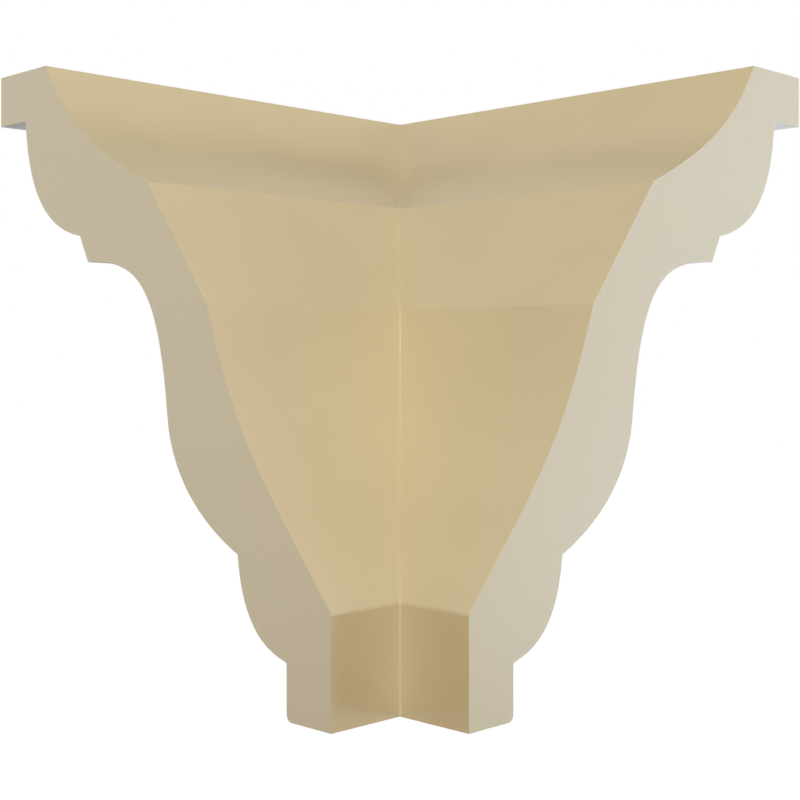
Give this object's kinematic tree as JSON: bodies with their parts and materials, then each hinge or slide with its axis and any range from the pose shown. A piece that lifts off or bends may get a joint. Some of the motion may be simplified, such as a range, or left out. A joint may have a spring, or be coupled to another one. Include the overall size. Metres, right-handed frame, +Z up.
{
  "type": "outside corner moulding",
  "caption": "Outside corner block for crown moulding: short mitred arms of an ovolo and ogee section, hollow behind, that wrap a wall's corner under the ceiling.",
  "frame": {"origin": "foot of the inner corner line where the two wall seats meet, which is the wall's own corner line at the moulding's lower edge", "axes": "+Z up to the ceiling; the wall's two faces are the planes x = 0 and y = 0 and the wall fills the quarter of +X and +Y; one arm runs along +X and the other along +Y, and both project away from the wall, towards -Y and -X"},
  "size_m": [0.1461, 0.1461, 0.1461],
  "materials": {
    "rigid_foam": "tan moulded skin behind, pale cut foam on the ends, white primer in front"
  },
  "bodies": {
    "root": {"corner_moulding": "rigid_foam"}
  },
  "joints": []
}
